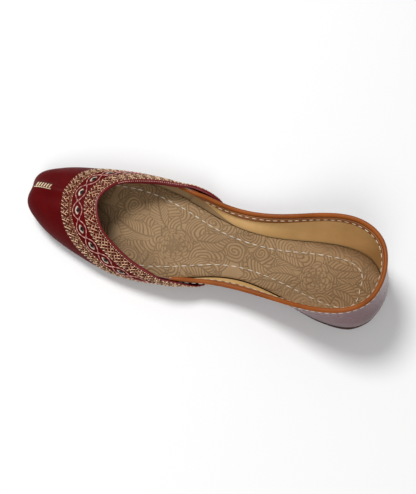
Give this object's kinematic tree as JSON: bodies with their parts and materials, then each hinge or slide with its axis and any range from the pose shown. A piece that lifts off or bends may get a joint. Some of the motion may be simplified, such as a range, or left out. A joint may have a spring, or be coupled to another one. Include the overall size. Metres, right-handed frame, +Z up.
{
  "type": "mojari shoe",
  "caption": "Flat slip-on leather mojari with a blunt creased toe, low-cut waist, raised heel quarter, embroidered vamp and bound collar.",
  "frame": {"origin": "on the floor, under the middle of the shoe's box", "axes": "+X towards the toe, +Y towards the outer side of the foot, +Z up"},
  "size_m": [0.2542, 0.0762, 0.0504],
  "materials": {
    "sole_leather": "matt",
    "insole_leather": "matt, embossed",
    "upper_leather": "glossy",
    "vamp_leather": "satin",
    "binding_leather": "satin"
  },
  "bodies": {
    "root": {"outsole": "sole_leather", "insole": "insole_leather", "upper": "upper_leather", "vamp": "vamp_leather", "collar_binding": "binding_leather"}
  },
  "joints": []
}
